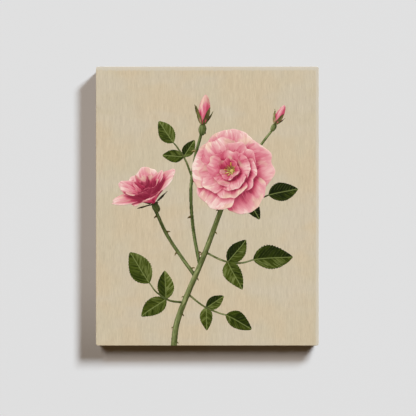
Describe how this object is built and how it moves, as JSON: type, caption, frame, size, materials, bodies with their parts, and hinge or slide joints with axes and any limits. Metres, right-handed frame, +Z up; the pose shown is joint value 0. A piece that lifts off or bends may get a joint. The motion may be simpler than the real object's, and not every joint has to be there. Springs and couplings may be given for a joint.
{
  "type": "stretched canvas wall art",
  "caption": "Gallery-wrapped stretched canvas with a painted flower spray, on mitred wooden bars with keys, staples, bumpers and a hanger.",
  "frame": {"origin": "middle of the sawtooth hanger's back face, which touches the wall, at the middle of the top bar", "axes": "+X to the right as the picture is looked at, +Y into the wall, +Z up; the picture faces -Y"},
  "size_m": [0.407, 0.0405, 0.5096],
  "materials": {
    "painted_canvas": "primed cotton under matt paint, brushed upright",
    "pine": "planed, unvarnished",
    "key_wood": "sawn, unvarnished",
    "staple_wire": "galvanised",
    "brassed_steel": "thin brass plating",
    "bumper_rubber": "matt"
  },
  "bodies": {
    "root": {"bumper_left": "bumper_rubber", "bumper_right": "bumper_rubber", "canvas": "painted_canvas", "hanger_nail_left": "brassed_steel", "hanger_nail_right": "brassed_steel", "key_bottom_left_flat": "key_wood", "key_bottom_left_upright": "key_wood", "key_bottom_right_flat": "key_wood", "key_bottom_right_upright": "key_wood", "key_top_left_flat": "key_wood", "key_top_left_upright": "key_wood", "key_top_right_flat": "key_wood", "key_top_right_upright": "key_wood", "sawtooth_hanger": "brassed_steel", "staple_bottom_1": "staple_wire", "staple_bottom_2": "staple_wire", "staple_bottom_3": "staple_wire", "staple_bottom_4": "staple_wire", "staple_bottom_5": "staple_wire", "staple_bottom_6": "staple_wire", "staple_bottom_7": "staple_wire", "staple_bottom_left_1": "staple_wire", "staple_bottom_right_1": "staple_wire", "staple_left_1": "staple_wire", "staple_left_2": "staple_wire", "staple_left_3": "staple_wire", "staple_left_4": "staple_wire", "staple_left_5": "staple_wire", "staple_left_6": "staple_wire", "staple_left_7": "staple_wire", "staple_left_8": "staple_wire", "staple_left_9": "staple_wire", "staple_right_1": "staple_wire", "staple_right_2": "staple_wire", "staple_right_3": "staple_wire", "staple_right_4": "staple_wire", "staple_right_5": "staple_wire", "staple_right_6": "staple_wire", "staple_right_7": "staple_wire", "staple_right_8": "staple_wire", "staple_right_9": "staple_wire", "staple_top_1": "staple_wire", "staple_top_2": "staple_wire", "staple_top_3": "staple_wire", "staple_top_4": "staple_wire", "staple_top_5": "staple_wire", "staple_top_6": "staple_wire", "staple_top_7": "staple_wire", "staple_top_left_1": "staple_wire", "staple_top_right_1": "staple_wire", "stretcher_bottom": "pine", "stretcher_left": "pine", "stretcher_right": "pine", "stretcher_top": "pine"}
  },
  "joints": []
}
